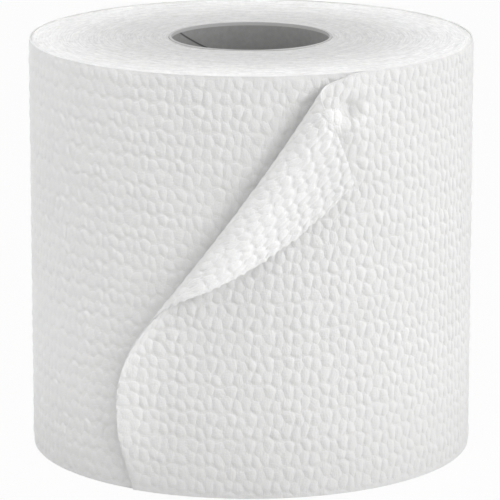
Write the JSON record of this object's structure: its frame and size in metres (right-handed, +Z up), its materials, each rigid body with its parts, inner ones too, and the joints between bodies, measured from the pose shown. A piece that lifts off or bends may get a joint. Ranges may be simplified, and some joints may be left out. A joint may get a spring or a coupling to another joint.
{
  "type": "toilet paper roll",
  "caption": "White embossed paper roll on a cardboard core, standing on end with the corner of its loose end folded back.",
  "frame": {"origin": "on the core's axis, in the plane that the roll stands on", "axes": "+Z up along the core's axis, -Y towards the folded corner of the loose end"},
  "size_m": [0.1085, 0.1165, 0.1016],
  "materials": {
    "paper": "soft matte white tissue, embossed with small domes",
    "cardboard": "matte grey recycled board"
  },
  "bodies": {
    "root": {"wound_paper": "paper", "cardboard_core": "cardboard"}
  },
  "joints": []
}
